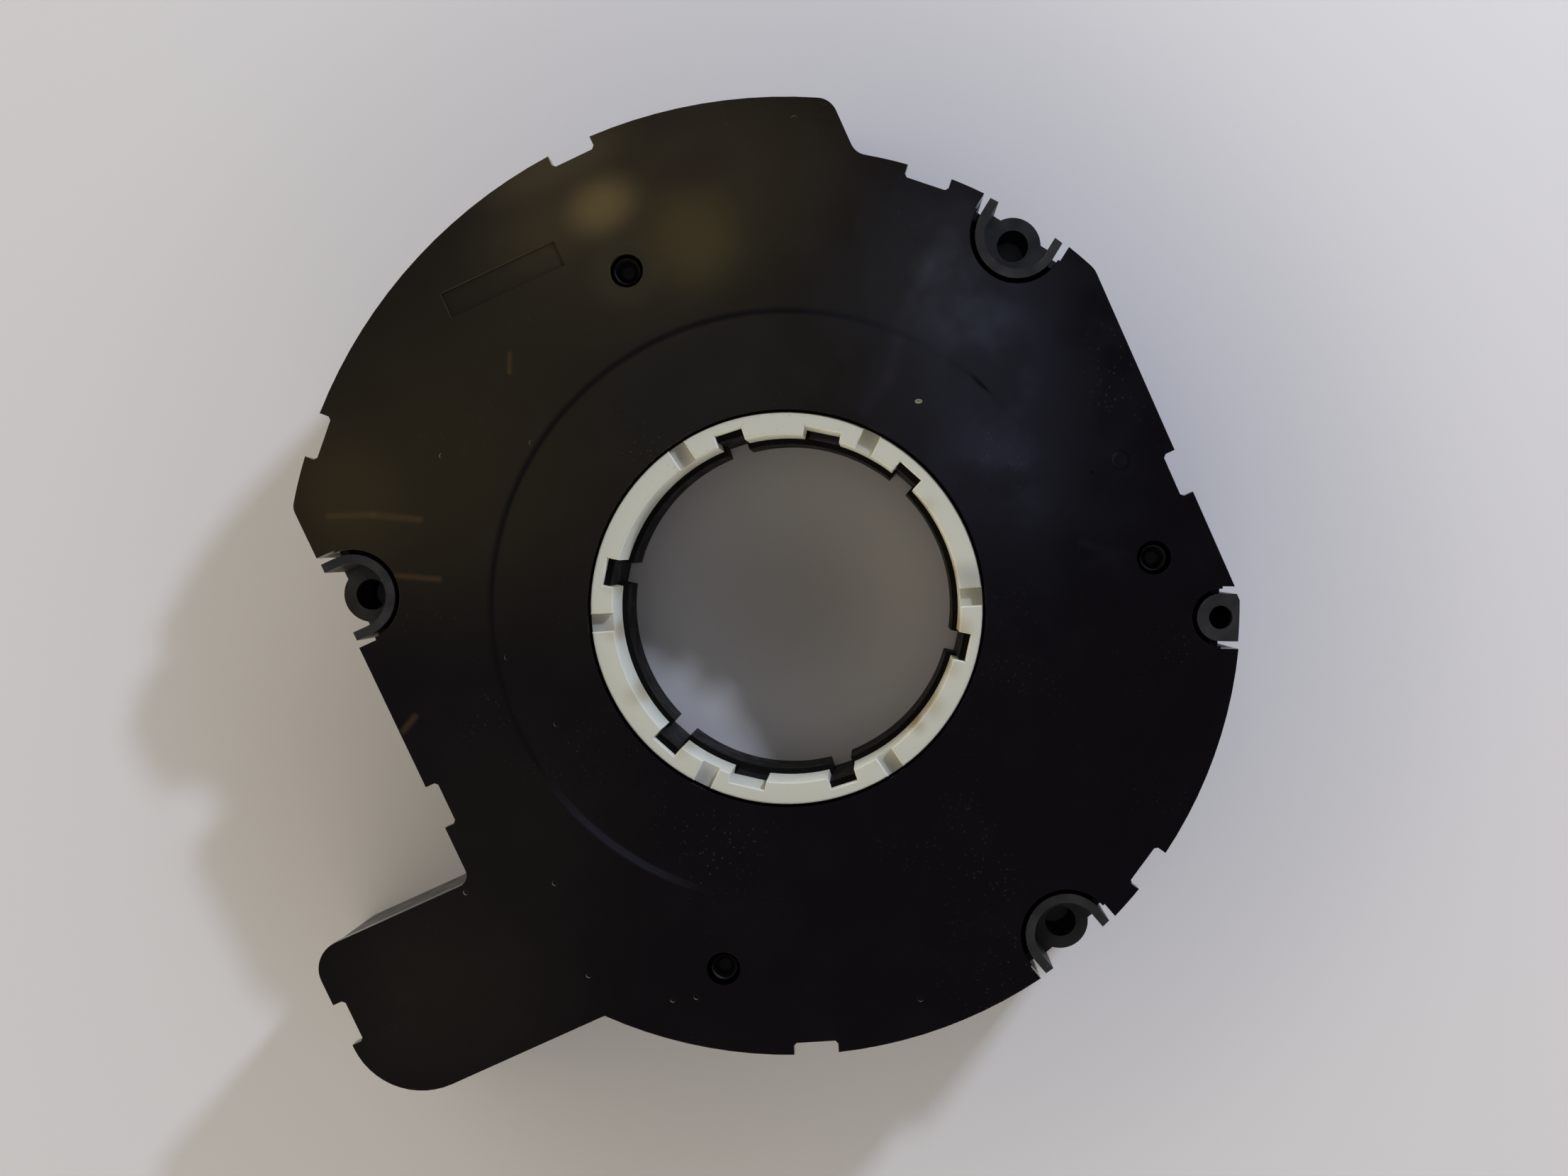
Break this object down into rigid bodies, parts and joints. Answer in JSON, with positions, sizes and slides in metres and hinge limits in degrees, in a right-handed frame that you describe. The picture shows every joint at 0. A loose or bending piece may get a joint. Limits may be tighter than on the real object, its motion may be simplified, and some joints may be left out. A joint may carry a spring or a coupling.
{
  "type": "steering angle sensor",
  "caption": "Flat ring-shaped steering angle sensor with a smoked cover held by catches, a turning white rotor with an open bore, screw ears round the edge and a connector arm.",
  "frame": {"origin": "centre of the rotor's bore, at the rotor's rear end", "axes": "+Z along the rotor's axis, out of the front cover; +X away from the connector arm, square to the case's two flats; +Y towards the large lobe"},
  "size_m": [0.1228, 0.1168, 0.015],
  "materials": {
    "smoked_cover": "gloss, smoky translucent brown-black",
    "black_housing": "satin moulded black",
    "white_rotor": "milky satin",
    "black_ring": "matte",
    "board": "green solder mask",
    "chip_black": "moulded resin",
    "tinned_metal": "tinned",
    "capacitor_resin": "moulded resin",
    "header_plastic": "glass-filled black",
    "barrier_plastic": "satin"
  },
  "bodies": {
    "case": {"front_cover": "smoked_cover", "rear_housing": "black_housing", "circuit_board": "board", "microcontroller": "chip_black", "bus_driver": "chip_black", "voltage_regulator": "chip_black", "quartz_crystal": "tinned_metal", "line_choke": "chip_black", "capacitor_1": "capacitor_resin", "capacitor_2": "capacitor_resin", "chip_resistors": "chip_black", "connector_header": "header_plastic", "light_barrier_1": "barrier_plastic", "light_barrier_2": "barrier_plastic", "light_barrier_3": "barrier_plastic", "light_barrier_4": "barrier_plastic", "light_barrier_5": "barrier_plastic", "light_barrier_6": "barrier_plastic", "light_barrier_7": "barrier_plastic", "light_barrier_8": "barrier_plastic", "light_barrier_9": "barrier_plastic", "connector_pin_1": "tinned_metal", "connector_pin_2": "tinned_metal", "connector_pin_3": "tinned_metal", "connector_pin_4": "tinned_metal", "connector_pin_5": "tinned_metal", "connector_pin_6": "tinned_metal"},
    "rotor": {"rotor_hub": "white_rotor", "driver_ring": "black_ring", "code_ring": "black_ring"}
  },
  "joints": [
    {"name": "rotor_spin", "type": "hinge", "parent": "case", "child": "rotor", "pos_m": [0, 0, 0], "axis": [0, 0, 1], "continuous": true}
  ]
}
